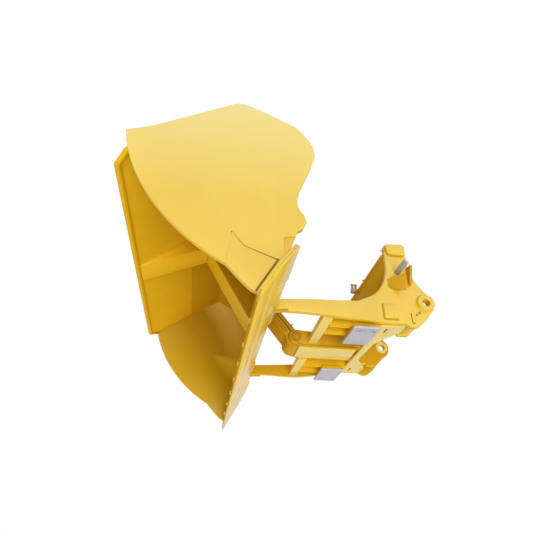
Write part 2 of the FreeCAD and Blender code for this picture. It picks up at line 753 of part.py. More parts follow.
# back plate between the inner ears, and the box beam above it
foot_z = floor_top(-back_plate_y)
back_line = [(-back_plate_y, foot_z), (-back_plate_y + back_plate_t,
                                       floor_top(-back_plate_y + back_plate_t)),
             (-back_plate_y + back_plate_t + back_plate_lean, beam_low),
             (-back_plate_y + back_plate_lean, beam_low)]
pieces["back_plate"] = prism(back_line, -ear_inner_x, ear_inner_x)
beam_out = block(-ear_outer_in, ear_outer_in, -beam_front, -beam_back, beam_low, beam_high)
beam_in = block(-ear_outer_in, ear_outer_in, -beam_front + beam_wall, -beam_back - beam_wall,
                beam_low + beam_wall, beam_high - beam_wall)
beam_top = block(-ear_outer_in, ear_outer_in, -beam_front - beam_lip, -beam_front,
                 beam_high - beam_wall, beam_high)
pieces["upper_crossmember"] = beam_out.cut(beam_in).fuse(beam_top).removeSplitter()

# centre arms, with a boss inside each at the pivot
ky = pivot.y
kz = pivot.z
centre_line = [
    (ky, kz + centre_nose_r), ((ky - centre_nose_r, kz), (ky - 30, kz - 52)),
    (ky + 56, centre_low), (-centre_rear - 25, centre_low),
    ((-centre_rear - 7, centre_low + 7), (-centre_rear, centre_low + 25)),
    (-centre_rear, floor_top(-floor_front)), (-floor_front, floor_top(-floor_front)),
    (-back_plate_y, floor_top(-back_plate_y)),
    (-back_plate_y + back_plate_lean * 0.4, floor_top(-back_plate_y) + 155),
    (-430, centre_high), (ky + 136, centre_high)]
centre = prism(centre_line, centre_in, centre_out)
boss = rod(centre_boss_r, centre_in - centre_boss_t, centre_in, ky, kz)
centre = centre.fuse(boss).cut(rod(pivot_pin_r + running_gap, 0, 2 * centre_out, ky, kz))
centre = centre.cut(prism(back_line, centre_in - 1, centre_out + 1))
pieces["centre_arm_left"] = centre
pieces["centre_arm_right"] = mirrored(centre)

hub_room = rod(cyl_hub_r + hub_clear, -centre_in, centre_in, ky, kz)
nose_y = ky + nose_tie_back
nose_z = kz - nose_tie_drop
tie_bar = block(-centre_in, centre_in, nose_y, nose_y + nose_tie_w, nose_z, nose_z + nose_tie_h)
pieces["centre_tie"] = tie_bar.cut(hub_room)
cover = block(-centre_in, centre_in, nose_y + nose_tie_w, -centre_rear - 25,
              cover_z, cover_z + cover_t)
pieces["centre_cover"] = cover.cut(hub_room)
pieces["pivot_pin"] = rod(pivot_pin_r, -centre_out - pivot_pin_end, centre_out + pivot_pin_end,
                          ky, kz)

# port block of the hoses on the box beam, and grease fittings
ports = block(port_x - port_half, port_x + port_half, -beam_front - beam_lip - port_reach,
              -beam_front - beam_lip, port_low, port_high)
port_y = -beam_front - beam_lip - port_reach + port_cap_r + 1
for y in (port_y, port_y + port_pitch):
    ports = ports.fuse(Part.makeCylinder(port_r, port_l, vec(port_x, y, port_high)))
    ports = ports.fuse(Part.makeCylinder(port_cap_r, port_cap_l,
                                         vec(port_x, y, port_high + port_l - port_cap_l)))
pieces["hose_couplings"] = ports
fittings = [Part.makeCylinder(fitting_r, fitting_l, vec(140, -beam_front - beam_lip, 440),
                              vec(0, -1, 0))]
for y, z in ((-88.0, -105.0), (-62.0, -86.0)):
    fitting = rod(fitting_r, ear_outer_x, ear_outer_x + fitting_l, y, z)
    fittings += [fitting, mirrored(fitting)]
pieces["grease_fittings"] = Part.Compound(fittings)

# cylinder, drawn upright on its pivot: a hub, two barrels and two guards
cyl_hub = rod(cyl_hub_r, -cyl_hub_half, cyl_hub_half, 0, 0)
cyl_hub = cyl_hub.fuse(block(-barrel_x - barrel_r, barrel_x + barrel_r,
                             -barrel_r, barrel_r, 0, cyl_block))
cyl_hub = cyl_hub.cut(rod(pivot_pin_r + running_gap, -far, far, 0, 0))
barrels = []
glands = []
rods = []
pistons = []
for s in (-1, 1):
    x = s * barrel_x
    hub_cut = Part.makeCylinder(barrel_r + seat_gap, far, vec(x, 0, cyl_block))
    cyl_hub = cyl_hub.cut(hub_cut)
    tube = Part.makeCylinder(barrel_r, barrel_end - cyl_block, vec(x, 0, cyl_block))
    tube = tube.cut(Part.makeCylinder(bore_r, far, vec(x, 0, cyl_block)))
    barrels.append(tube)
    gland = Part.makeCylinder(bore_r - seat_gap, gland_l, vec(x, 0, gland_start))
    glands.append(gland.cut(Part.makeCylinder(rod_r + running_gap, far, vec(x, 0, 0))))
    piston = Part.makeCylinder(bore_r - running_gap, piston_l, vec(x, 0, piston_rest))
    pistons.append(piston)
    top = cylinder_length - cross_reach
    rods.append(Part.makeCylinder(rod_r, top - piston_rest - piston_l,
                                  vec(x, 0, piston_rest + piston_l)))
pieces["cylinder_hub"] = aimed(cyl_hub)
pieces["barrels"] = aimed(Part.Compound(barrels))
pieces["glands"] = aimed(Part.Compound(glands))


def channel(y_face, depth):
    """A guard: a plate on the face and a flange down each side."""
    y0 = min(y_face, y_face + depth)
    y1 = max(y_face, y_face + depth)
    step = guard_t if depth > 0 else -guard_t
    end = barrel_end - guard_end_gap
    out = block(-guard_half, guard_half, y0, y1, guard_start, end)
    room_y = (y0 + guard_t, y1 + 1) if step > 0 else (y0 - 1, y1 - guard_t)
    return out.cut(block(-guard_half + guard_t, guard_half - guard_t, room_y[0], room_y[1],
                         guard_start - 1, end + 1))


hub_skin = rod(cyl_hub_r + seat_gap, -far, far, 0, 0)
pieces["guard_lower"] = aimed(channel(-guard_depth, guard_low_side).cut(hub_skin))
pieces["guard_upper"] = aimed(channel(guard_depth + 1, -guard_top_side).cut(hub_skin))

# rods with their pistons, and the crosshead with its pin
pieces["rods"] = aimed(Part.Compound(rods))
pieces["pistons"] = aimed(Part.Compound(pistons))
cross = block(-cross_half, cross_half, -eye_r, eye_r, cylinder_length - cross_reach,
              cylinder_length)
cross = cross.fuse(rod(eye_r, -cross_half, cross_half, 0, cylinder_length))
cross = cross.cut(rod(rod_pin_r + running_gap, -far, far, 0, cylinder_length))
pieces["crosshead"] = aimed(cross)
pieces["rod_pin"] = aimed(rod(rod_pin_r, -rod_pin_half, rod_pin_half, 0, cylinder_length))

os.makedirs("parts", exist_ok=True)
for name, shape in pieces.items():
    shape.exportStep("parts/" + name + ".step")
print(len(pieces), "pieces")
for name, shape in pieces.items():
    b = shape.BoundBox
    print("%-22s %2d %9.0f cm3  x %6.0f %6.0f  y %6.0f %6.0f  z %6.0f %6.0f %s" % (
        name, len(shape.Solids), shape.Volume / 1000, b.XMin, b.XMax, b.YMin, b.YMax,
        b.ZMin, b.ZMax, shape.isValid()))
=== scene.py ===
import bmesh
import bpy
import json
from math import cos, pi, radians, sin
from mathutils import Matrix, Vector


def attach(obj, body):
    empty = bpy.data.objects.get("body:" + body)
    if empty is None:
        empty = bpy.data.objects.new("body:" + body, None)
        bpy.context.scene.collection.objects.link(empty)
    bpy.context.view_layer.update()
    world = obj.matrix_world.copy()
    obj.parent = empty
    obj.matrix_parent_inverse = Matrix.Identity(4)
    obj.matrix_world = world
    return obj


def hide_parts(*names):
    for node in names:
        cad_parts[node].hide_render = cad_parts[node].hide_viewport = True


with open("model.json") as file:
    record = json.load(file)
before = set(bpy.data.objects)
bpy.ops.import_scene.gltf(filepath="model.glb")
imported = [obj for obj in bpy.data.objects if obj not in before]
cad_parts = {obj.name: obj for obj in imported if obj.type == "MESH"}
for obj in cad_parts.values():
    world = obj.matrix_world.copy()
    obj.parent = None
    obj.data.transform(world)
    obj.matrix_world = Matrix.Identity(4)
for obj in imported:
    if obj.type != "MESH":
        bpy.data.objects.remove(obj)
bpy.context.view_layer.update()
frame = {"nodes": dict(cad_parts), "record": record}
print("frame loaded")

# the lines that the added pieces are placed by, in metres, and their turns in degrees
hinge = Vector((0, -1.24, -0.168))
pivot = Vector((0, -0.936, -0.148))
turns = {"dumped": 60, "cylinder": 37.9223}
levelToRest = Matrix.Translation(hinge) @ Matrix.Rotation(radians(turns["dumped"]), 4, "X")
alongX = Matrix.Rotation(pi / 2, 4, "Y")
# the cylinder's own frame: Z runs along it, from its pivot
aimed = Matrix.Translation(pivot) @ Matrix.Rotation(radians(turns["cylinder"]), 4, "X")
# the mouth of the bowl: a point on it, the way in, and half the width inside
mouth = levelToRest @ Vector((0, -0.422, -0.050))
mouthIn = Vector((0, 0.729, 0.684))
innerHalf = 1.472


class Link:
    # a node's output, on which sums can be written
    def __init__(self, look, socket):
        self.look = look
        self.socket = socket

    def also(self, out):
        # another output of the same node
        return Link(self.look, self.socket.node.outputs[out])

    def join(self, kind, other, swap=False):
        ends = (other, self) if swap else (self, other)
        return self.look.node("ShaderNodeMath", {"operation": kind}, {0: ends[0], 1: ends[1]})

    def __add__(self, other):
        return self.join("ADD", other)

    __radd__ = __add__

    def __mul__(self, other):
        return self.join("MULTIPLY", other)

    __rmul__ = __mul__

    def __sub__(self, other):
        return self.join("SUBTRACT", other)

    def __rsub__(self, other):
        return self.join("SUBTRACT", other, True)


class Look:
    # the nodes of a material or of the sky, with one method that adds any node
    def __init__(self, owner):
        owner.use_nodes = True
        self.owner = owner
        self.tree = owner.node_tree
        self.shader = self.tree.nodes.get("Principled BSDF")

    def node(self, kind, settings=None, sockets=None, out=0):
        made = self.tree.nodes.new(kind)
        for key, value in (settings or {}).items():
            if key == "stops":
                for stop, (at, shade) in zip(made.color_ramp.elements, value):
                    stop.position = at
                    stop.color = (shade, shade, shade, 1)
            else:
                setattr(made, key, value)
        for key, value in (sockets or {}).items():
            self.feed(made.inputs[key], value)
        return Link(self, made.outputs[out])

    def feed(self, socket, value):
        if isinstance(value, Link):
            self.tree.links.new(value.socket, socket)
        else:
            socket.default_value = value

    def set(self, **sockets):
        for key, value in sockets.items():
            self.feed(self.shader.inputs[key.replace("_", " ")], value)

    def coords(self, stretch=None):
        where = self.node("ShaderNodeTexCoord", out="Object")
        if stretch:
            where = self.node("ShaderNodeMapping", {}, {"Vector": where, "Scale": stretch})
        return where

    def parts(self, where):
        x = self.node("ShaderNodeSeparateXYZ", {}, {"Vector": where})
        return x, x.also("Y"), x.also("Z")

    def noise(self, where, scale, detail, rough):
        return self.node("ShaderNodeTexNoise", {}, {"Vector": where, "Scale": scale,
                                                    "Detail": detail, "Roughness": rough})

    def ramp(self, fac, low, high, first=0.0, last=1.0):
        return self.node("ShaderNodeValToRGB", {"stops": [(low, first), (high, last)]},
                         {"Fac": fac})

    def mix(self, fac, a, b):
        # sockets 0, 6 and 7 are the factor and the two colours, output 2 the colour
        return self.node("ShaderNodeMix", {"data_type": "RGBA"}, {0: fac, 6: a, 7: b}, out=2)

    def bump(self, height, strength, distance):
        return self.node("ShaderNodeBump", {}, {"Height": height, "Strength": strength,
                                                "Distance": distance})


# colours of the paints: the tone, its deeper spots and its dusty haze; all but gold are the
# same gold with painted light or shade
gold = (0.80, 0.54, 0.012)
goldPale = (0.83, 0.58, 0.045)
# painted shade: the gold as it looks in shade and in deep shade
mattShade = (0.80, 0.47, 0.010)
shade = (0.60, 0.32, 0.008)
tones = {
    "gold": (gold, (0.775, 0.505, 0.010), goldPale),
    # painted shade: a deeper, more orange gold for the heel's soft shading
    "heel": ((0.80, 0.46, 0.03), (0.77, 0.43, 0.02), gold),
    # painted light: a brighter gold for the stiffener and the tunnel's front plate
    "strutLit": ((0.93, 0.57, 0.014), (0.89, 0.53, 0.012), gold),
    # painted light: a paler gold for the undersides
    "under": ((0.91, 0.68, 0.115), (0.88, 0.64, 0.09), (0.93, 0.72, 0.16)),
    # painted shade: a deeper gold, without coat
    "mattShade": (mattShade, (0.77, 0.44, 0.008), gold),
    # painted shade: the gold in deep shade
    "shade": (shade, (0.55, 0.28, 0.006), mattShade),
    # painted shade: a deeper gold for the gussets
    "amberShade": ((0.70, 0.38, 0.010), (0.64, 0.34, 0.008), gold),
    # painted light: a brighter gold for the cutting edge and the heel's wear plate
    "edge": ((0.93, 0.60, 0.012), (0.90, 0.57, 0.010), goldPale),
    # painted shade: a near black for the shadow lines at steps, creases and rings
    "seam": ((0.34, 0.19, 0.012), (0.28, 0.15, 0.010), shade),
    # painted shade: a darker gold for the fillets beside the pads
    "filletShade": ((0.58, 0.36, 0.012), (0.52, 0.31, 0.010), mattShade),
}
# painted shade inside the bowl, deeper further in: the colour, how far behind the mouth it
# starts and is full, in metres and less than 0 in front of it, and its share on the far side's
# wall
bowlShades = {
    "skin": {"tone": (0.59, 0.325, 0.004), "start": -1.2, "full": 0.80, "farWallShade": 0.9},
    "side": {"tone": (0.41, 0.220, 0.001), "start": -0.8, "full": 0.45, "farWallShade": 0.0},
}
# how the enamel varies: noises as scale, detail and roughness, spans as a ramp's two stops
enamel = {
    "cloud": (1.3, 4.0, 0.55), "cloudSpan": (0.36, 0.68), "cloudRough": 0.05,
    "haze": (5.0, 6.0, 0.6), "hazeSpan": (0.48, 0.82), "hazeRough": 0.16,
    "hazeStretch": (1, 1, 0.35), "hazeShare": 0.55,
    "peel": (190.0, 2.0, 0.6), "peelShare": 0.25, "roll": (3.5, 2.0, 0.5),
    "bump": 0.10, "bumpDepth": 0.002,
    "coatRough": 0.28, "coatIor": 2.0, "ior": 1.4, "specular": 0.08,
    # painted light: a paler gold towards the top, with its span and share
    "topLight": (0.89, 0.74, 0.20), "topLightSpan": (0.12, 0.90), "topLightShare": 0.75,
    # the mask of the painted shade inside the bowl, and its roughness
    "mouthSpan": (0.52, 0.56), "wallFade": 0.005, "farSpan": (0.265, 0.30), "bowlRough": 0.25,
    # painted shade on the frame's inward faces: its colour, span and roughness
    "inner": (0.60, 0.33, 0.008), "innerSpan": (0.35, 0.45), "innerRough": 0.2,
    "cutSpan": (0.35, 0.75), "cutGloss": 0.25,
}


def paint(name, shades, rough=0.32, gloss=1.0, bowl=None, inner=False, topLight=False,
          dullEdges=False):
    # sprayed enamel: slow changes of tone, thin spots, a haze of dust and an orange peel;
    # painted shade, deeper and duller, inside the bowl and on the frame's inward faces; duller on
    # cut edges; painted light, paler towards the top of the dumped bucket
    look = Look(bpy.data.materials.new(name))
    tone, deep, pale = [colour + (1,) for colour in shades]
    where = look.coords()
    cloud = look.ramp(look.noise(where, *enamel["cloud"]), *enamel["cloudSpan"])
    haze = look.noise(look.coords(enamel["hazeStretch"]), *enamel["haze"])
    haze = look.ramp(haze, *enamel["hazeSpan"])
    peel = look.noise(where, *enamel["peel"])
    roll = look.noise(where, *enamel["roll"])
    body = look.mix(cloud, tone, deep)
    body = look.mix(haze * enamel["hazeShare"], body, pale)
    rough = haze * enamel["hazeRough"] + cloud * enamel["cloudRough"] + rough
    if bowl or inner or topLight or dullEdges:
        x, y, z = look.parts(where)
        nx, ny, nz = look.parts(look.node("ShaderNodeTexCoord", out="Normal"))
    # painted light: paler towards the top of the dumped bucket
    if topLight:
        height = look.ramp(z, *enamel["topLightSpan"])
        body = look.mix(height * enamel["topLightShare"], body, enamel["topLight"] + (1,))
    # painted shade inside the bowl: deeper further behind the mouth and on the far side's wall
    if bowl:
        # squares and halves bring the widths into a ramp's reach from 0 to 1
        facing = ny * (mouthIn.y / 2) + nz * (mouthIn.z / 2) + 0.5
        facing = look.ramp(facing, *enamel["mouthSpan"], 1.0, 0.0)
        wall = innerHalf ** 2 / 4
        within = look.ramp(x * x * 0.25, wall, wall + enamel["wallFade"], 1.0, 0.0) * facing
        depth = (y - mouth.y) * mouthIn.y + (z - mouth.z) * mouthIn.z
        stretch = bowl["full"] - bowl["start"]
        stainAndShade = look.ramp((depth - bowl["start"]) * (1 / stretch), 0.0, 1.0)
        farWallShade = look.ramp(x * 0.5 + 1.0, *enamel["farSpan"], bowl["farWallShade"], 0.0)
        stainAndShade = stainAndShade.join("MAXIMUM", farWallShade)
        body = look.mix(stainAndShade * within, body, bowl["tone"] + (1,))
        rough = rough + within * enamel["bowlRough"]
        gloss = 1.0 - within
    # painted shade on the inward faces of the frame plates
    if inner:
        inwardShade = look.ramp(x * nx + 0.5, *enamel["innerSpan"], 1.0, 0.0)
        body = look.mix(inwardShade, body, enamel["inner"] + (1,))
        rough = rough + inwardShade * enamel["innerRough"]
        gloss = 1.0 - inwardShade
    if dullEdges:
        gloss = gloss * look.ramp(nx * nx, *enamel["cutSpan"], enamel["cutGloss"], 1.0)
    skin = peel * enamel["peelShare"] + roll
    look.set(Base_Color=body, Roughness=rough, Coat_Weight=gloss,
             Normal=look.bump(skin, enamel["bump"], enamel["bumpDepth"]))
    look.set(Coat_Roughness=enamel["coatRough"], Coat_IOR=enamel["coatIor"],
             IOR=enamel["ior"], Specular_IOR_Level=enamel["specular"])
    return look.owner


# bare metals: the tone and its stain
metals = {
    "machined": ((0.60, 0.60, 0.65), (0.52, 0.52, 0.57)),
    "stop": ((0.52, 0.52, 0.56), (0.42, 0.42, 0.46)),
    "pin": ((0.42, 0.41, 0.40), (0.34, 0.33, 0.32)),
    "chrome": ((0.72, 0.73, 0.75), (0.68, 0.69, 0.71)),
    "fitting": ((0.46, 0.37, 0.16), (0.33, 0.26, 0.10)),
}
# how tool marks and stains vary, as in the enamel; the marks' scale goes with each metal
marks = {"detail": 3.0, "noiseRough": 0.6, "span": (0.3, 0.7), "rough": 0.16,
         "stainAndShade": (6.0, 4.0, 0.5), "stainSpan": (0.35, 0.7), "stainRough": 0.06,
         "bump": 0.12, "bumpDepth": 0.0003}


def metal(name, shades, rough, lines=(1, 1, 1), scale=90.0, shine=0.85):
    # bare steel: tool marks along one direction and a faint stain
    look = Look(bpy.data.materials.new(name))
    tone, deep = [colour + (1,) for colour in shades]
    grain = look.noise(look.coords(lines), scale, marks["detail"], marks["noiseRough"])
    stainAndShade = look.ramp(look.noise(look.coords(), *marks["stainAndShade"]), *marks["stainSpan"])
    rough = look.ramp(grain, *marks["span"]) * marks["rough"] + stainAndShade * marks["stainRough"] + rough
    look.set(Base_Color=look.mix(stainAndShade, tone, deep), Metallic=shine, Roughness=rough,
             Normal=look.bump(grain, marks["bump"], marks["bumpDepth"]))
    return look.owner


looks = {
    "gold_paint": paint("goldPaint", tones["gold"]),
    # painted shade inside the bowl
    "bowl": paint("bowlPaint", tones["gold"], bowl=bowlShades["skin"]),
    # painted shade inside the bowl, and painted light towards the top
    "side": paint("sidePaint", tones["gold"], bowl=bowlShades["side"], topLight=True, dullEdges=True),
    # painted shade on the heel gussets
    "heel": paint("heelPaint", tones["heel"], gloss=0.6),
    # painted light on the stiffener and the tunnel's front plate
    "strutLit": paint("strutLitPaint", tones["strutLit"], rough=0.5, gloss=0.1),
    # painted light on the undersides of the frame
    "under": paint("underPaint", tones["under"]),
    # painted shade on the frame's inward faces
    "frame": paint("framePaint", tones["gold"], inner=True, dullEdges=True),
    # painted shade on the spill guard, lip bar, beam, back plate, ribs and blocks
    "mattShade": paint("mattShadePaint", tones["mattShade"], rough=0.5, gloss=0.0),
    # painted shade on the centre arms, the cylinder's guards, hub and barrels, and rear plates
    "shade": paint("shadePaint", tones["shade"], rough=0.5, gloss=0.1),
    # painted shade on the gussets
    "gusset_paint": paint("amberShadePaint", tones["amberShade"], rough=0.42, gloss=0.2),
    # painted light on the cutting edge and the heel's wear plate
    "edge": paint("edgeLitPaint", tones["edge"], gloss=0.5),
    # painted shadow lines
    "seam": paint("seamPaint", tones["seam"], rough=0.6, gloss=0.0),
    # painted shade on the fillets beside the pads
    "filletShade": paint("filletShadePaint", tones["filletShade"], rough=0.5, gloss=0.1),
    "machined_steel": metal("machinedSteel", metals["machined"], rough=0.42, lines=(1, 30, 1),
                            scale=14.0, shine=0.35),
    "stop_steel": metal("stopSteel", metals["stop"], rough=0.45, lines=(1, 26, 26), scale=9.0,
                        shine=0.35),
    "pin_steel": metal("pinSteel", metals["pin"], rough=0.36),
    "chromed_rod": metal("chromedRod", metals["chrome"], rough=0.14),
    "fitting_metal": metal("fittingMetal", metals["fitting"], rough=0.38, shine=0.5),
}
print("materials done")

slots = {row["node"]: row["material_slot"] for row in frame["record"]["subparts"]}
bodies = {node: body for body, nodes in frame["record"]["behaviour"]["bodies"].items()
          for node in nodes}
# nodes whose look differs from their slot's own: apart from the stop steel, these are the
# one gold with painted light or shade
finishesAndPaintedLight = {
    "bowl": ["shell", "top_plate", "base_plate", "tunnel_side_left", "tunnel_side_right"],
    "side": ["side_plate_left", "side_plate_right"],
    "heel": ["heel_gussets"],
    "edge": ["cutting_edge", "heel_wear_plate"],
    "stop_steel": ["bracket_pads"],
    "frame": ["carrier_plate_left", "carrier_plate_right", "inner_ear_left", "inner_ear_right"],
    "strutLit": ["top_stiffener", "tunnel_front_plate"],
    "under": ["centre_cover", "centre_tie", "crossmember_left", "crossmember_right",
              "bottom_plate"],
    "mattShade": ["spill_guard", "lip_bar", "upper_crossmember",
             "back_plate", "bay_ribs", "skid_blocks"],
    "shade": ["centre_arm_left", "centre_arm_right", "guard_lower", "guard_upper",
              "cylinder_hub", "barrels", "bracket_rear_plates"],
}
nodeLooks = dict(slots)
for look, names in finishesAndPaintedLight.items():
    nodeLooks.update(dict.fromkeys(names, look))
for name, node in frame["nodes"].items():
    for held in node.material_slots:
        held.material = looks[nodeLooks[name]]

sharpFrom = 32      # degrees between two faces from which their edge shows


def place(name, bm, body, slotName, *nodes, look=None):
    # finishes a mesh as a piece that rides on its body and may stand for nodes
    mesh = bpy.data.meshes.new(name)
    for face in bm.faces:
        face.smooth = True
    bm.to_mesh(mesh)
    bm.free()
    mesh.set_sharp_from_angle(angle=radians(sharpFrom))
    mesh.materials.append(looks[look or slotName])
    piece = bpy.data.objects.new(name, mesh)
    bpy.context.collection.objects.link(piece)
    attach(piece, body)
    if nodes:
        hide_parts(*nodes)


def breakEdges(bm, edges, width, segments, clamp=True):
    bmesh.ops.bevel(bm, geom=edges, offset=width, offset_type="OFFSET", segments=segments,
                    profile=0.5, affect="EDGES", material=-1, clamp_overlap=clamp)


# plates: how far each one's corners are broken
cornerWidths = {
    0.0030: ["side_plate_left", "side_plate_right", "base_plate", "cutting_edge",
             "heel_wear_plate", "carrier_plate_left", "carrier_plate_right", "lip_bar",
             "inner_ear_left", "inner_ear_right", "centre_arm_left", "centre_arm_right",
             "upper_crossmember", "skid_blocks", "heel_gussets"],
    0.0020: ["side_cutter_left", "side_cutter_right", "top_stiffener", "bottom_plate",
             "bay_ribs", "back_plate", "crossmember_left", "crossmember_right",
             "tunnel_front_plate", "centre_cover", "centre_tie", "bracket_pads",
             "bracket_gussets", "bracket_rear_plates", "skid_pads", "tip_doublers",
             "crosshead", "spill_guard"],
    0.0060: ["horn_blocks", "lug_pads"],
    0.0012: ["guard_lower", "guard_upper"],
}
# points nearer than merge are one, faces within flat (degrees) are one, and an edge between
# faces further apart than sharp (radians) is a corner
corner = {"merge": 0.00002, "flat": 0.6, "sharp": 0.6, "segments": 2}


def softened(node, width):
    # a copy of a plate whose corners are broken, as flame cut and ground plate is
    bm = bmesh.new()
    bm.from_mesh(frame["nodes"][node].data)
    bmesh.ops.remove_doubles(bm, verts=bm.verts, dist=corner["merge"])
    bmesh.ops.dissolve_limit(bm, angle_limit=radians(corner["flat"]), verts=bm.verts,
                             edges=bm.edges)
    sharp = [edge for edge in bm.edges
             if edge.is_manifold and edge.calc_face_angle(0) > corner["sharp"]]
    breakEdges(bm, sharp, width, corner["segments"], clamp=False)
    place("soft_" + node, bm, bodies[node], slots[node], node, look=nodeLooks[node])


for width, names in cornerWidths.items():
    for name in names:
        softened(name, width)
print("plates softened")


def turnedBar(bm, profile, centre, steps=40):
    # spins a profile of (x, radius) pairs about a line along X
    made = [bm.verts.new((x, centre.y, centre.z + r)) for x, r in profile]
    edges = [bm.edges.new(pair) for pair in zip(made, made[1:])]
    bmesh.ops.spin(bm, geom=made + edges, cent=centre, axis=(1, 0, 0), dvec=(0, 0, 0),
                   angle=2 * pi, steps=steps, use_merge=True, use_duplicate=False)
    bmesh.ops.remove_doubles(bm, verts=bm.verts, dist=0.00001)
    bmesh.ops.recalc_face_normals(bm, faces=bm.faces)


def bothSides(bm):
    # adds the mirror image across the machine's middle
    bmesh.ops.mirror(bm, geom=bm.verts[:] + bm.edges[:] + bm.faces[:], axis="X",
                     merge_dist=-1)
    bmesh.ops.recalc_face_normals(bm, faces=bm.faces)


def raised(at, height):
    # the same place, further up along its own Z
    return at @ Matrix.Translation((0, 0, height))


def hexHead(bm, at, radius, height, sides=6, chamfer=0.0015):
    # a bolt head, nut or round disc that stands on its base along its own Z
    head = bmesh.ops.create_cone(bm, cap_ends=True, segments=sides, radius1=radius,
                                 radius2=radius, depth=height, matrix=raised(at, height / 2))
    rim = {edge for vert in head["verts"] for edge in vert.link_edges}
    breakEdges(bm, list(rim), chamfer, 1)


def newVerts(made):
    # the points that an extrusion has added
    return [part for part in made["geom"] if isinstance(part, bmesh.types.BMVert)]


# bosses of the ears: turned rings with chamfered rims, the outer ones stepped at the plate
boss = {"bore": 0.0305, "out": 0.069, "body": 0.060, "chamfer": 0.005, "face": 0.629,
        "plate": 0.605, "back": 0.555, "innerFace": 0.395, "innerBack": 0.345,
        "flare": 0.0015, "flareRun": 0.002, "steps": 56}
bm = bmesh.new()
cut = boss["chamfer"]
outer = [(boss["back"], boss["bore"] + cut), (boss["back"], boss["body"] - cut),
         (boss["back"] + cut, boss["body"]), (boss["plate"], boss["body"]),
         (boss["plate"], boss["out"] + boss["flare"]),
         (boss["plate"] + boss["flareRun"], boss["out"]),
         (boss["face"] - cut, boss["out"]), (boss["face"], boss["out"] - cut),
         (boss["face"], boss["bore"] + cut), (boss["face"] - cut, boss["bore"]),
         (boss["back"] + cut, boss["bore"]), (boss["back"], boss["bore"] + cut)]
inner = [(boss["innerBack"], boss["bore"] + cut), (boss["innerBack"], boss["body"] - cut),
         (boss["innerBack"] + cut, boss["body"]), (boss["innerFace"] - cut, boss["body"]),
         (boss["innerFace"], boss["body"] - cut), (boss["innerFace"], boss["bore"] + cut),
         (boss["innerFace"] - cut, boss["bore"]), (boss["innerBack"] + cut, boss["bore"]),
         (boss["innerBack"], boss["bore"] + cut)]
for profile in (outer, inner):
    turnedBar(bm, profile, Vector(), boss["steps"])
bothSides(bm)
place("bossRings", bm, "carrier", "gold_paint", "coupler_bosses")

# hinge pins: a chamfered head with a shallow recess, and two bolts sunk into its face
pin = {"r": 0.030, "start": 0.490, "end": 1.070, "lead": 0.004, "head": 0.042, "headT": 0.010,
       "chamfer": 0.002, "recess": 0.012, "recessFloor": 0.010, "recessT": 0.003,
       "boltR": 0.008, "boltT": 0.0055, "boltY": 0.024, "boltSeat": 0.006}
bm = bmesh.new()
turnedBar(bm, [(pin["start"], 0), (pin["start"], pin["r"] - pin["lead"]),
               (pin["start"] + pin["lead"], pin["r"]), (pin["end"] - pin["headT"], pin["r"]),
               (pin["end"] - pin["headT"], pin["head"]),
               (pin["end"] - pin["chamfer"], pin["head"]),
               (pin["end"], pin["head"] - pin["chamfer"]), (pin["end"], pin["recess"]),
               (pin["end"] - pin["recessT"], pin["recessFloor"]),
               (pin["end"] - pin["recessT"], 0)], hinge)
for side in (-1, 1):
    seat = Vector((pin["end"] - pin["boltSeat"], side * pin["boltY"], 0))
    hexHead(bm, Matrix.Translation(hinge + seat) @ alongX, pin["boltR"], pin["boltT"])
bothSides(bm)
place("hingePinsTurned", bm, "bucket", "pin_steel", "hinge_pins")

# pivot pin of the cylinder: a painted cap with a flange, a groove and a centre bolt, in the
# gold with painted shade
cap = {"pin": 0.035, "face": 0.150, "end": 0.158, "r": 0.052, "flange": 0.006,
       "chamfer": 0.002, "groove": 0.034, "grooveX": 0.152, "slope": 0.003, "steps": 48,
       "sink": 0.001, "boltR": 0.013, "boltT": 0.010}
flange = cap["face"] + cap["flange"]
bm = bmesh.new()
turnedBar(bm, [(0, cap["pin"]), (cap["face"], cap["pin"]), (cap["face"], cap["r"]),
               (flange - cap["chamfer"], cap["r"]), (flange, cap["r"] - cap["chamfer"]),
               (flange, cap["groove"] + cap["slope"]), (cap["grooveX"], cap["groove"]),
               (cap["grooveX"], cap["groove"] - cap["slope"]),
               (cap["end"], cap["groove"] - 2 * cap["slope"]), (cap["end"], 0)],
          pivot, cap["steps"])
seat = Vector((cap["end"] - cap["sink"], 0, 0))
hexHead(bm, Matrix.Translation(pivot + seat) @ alongX, cap["boltR"], cap["boltT"])
bothSides(bm)
place("pivotPinTurned", bm, "carrier", "gold_paint", "pivot_pin", look="shade")

# grease nipples: a hexagon, a neck and a ball; where they sit and which way they point
nipple = {"hex": 0.0085, "hexT": 0.008, "chamfer": 0.0008, "foot": 0.0048, "neck": 0.0040,
          "neckT": 0.010, "neckMid": 0.012, "ball": 0.0052, "ballMid": 0.017, "steps": 12,
          "rings": 8,
          "bothSides": [((0.604, -0.088, -0.105), (1, 0, 0)), ((0.604, -0.062, -0.086), (1, 0, 0)),
                        ((0.585, -0.277, 0.474), (0, -1, 0))],
          "oneSide": ((0.140, -0.286, 0.440), (0, -1, 0))}


def greaseNipple(bm, at, toward):
    turn = Vector(toward).to_track_quat("Z", "Y").to_matrix().to_4x4()
    seat = Matrix.Translation(at) @ turn
    hexHead(bm, seat, nipple["hex"], nipple["hexT"], chamfer=nipple["chamfer"])
    bmesh.ops.create_cone(bm, cap_ends=True, segments=nipple["steps"], radius1=nipple["foot"],
                          radius2=nipple["neck"], depth=nipple["neckT"],
                          matrix=raised(seat, nipple["neckMid"]))
    bmesh.ops.create_uvsphere(bm, u_segments=nipple["steps"], v_segments=nipple["rings"],
                              radius=nipple["ball"], matrix=raised(seat, nipple["ballMid"]))


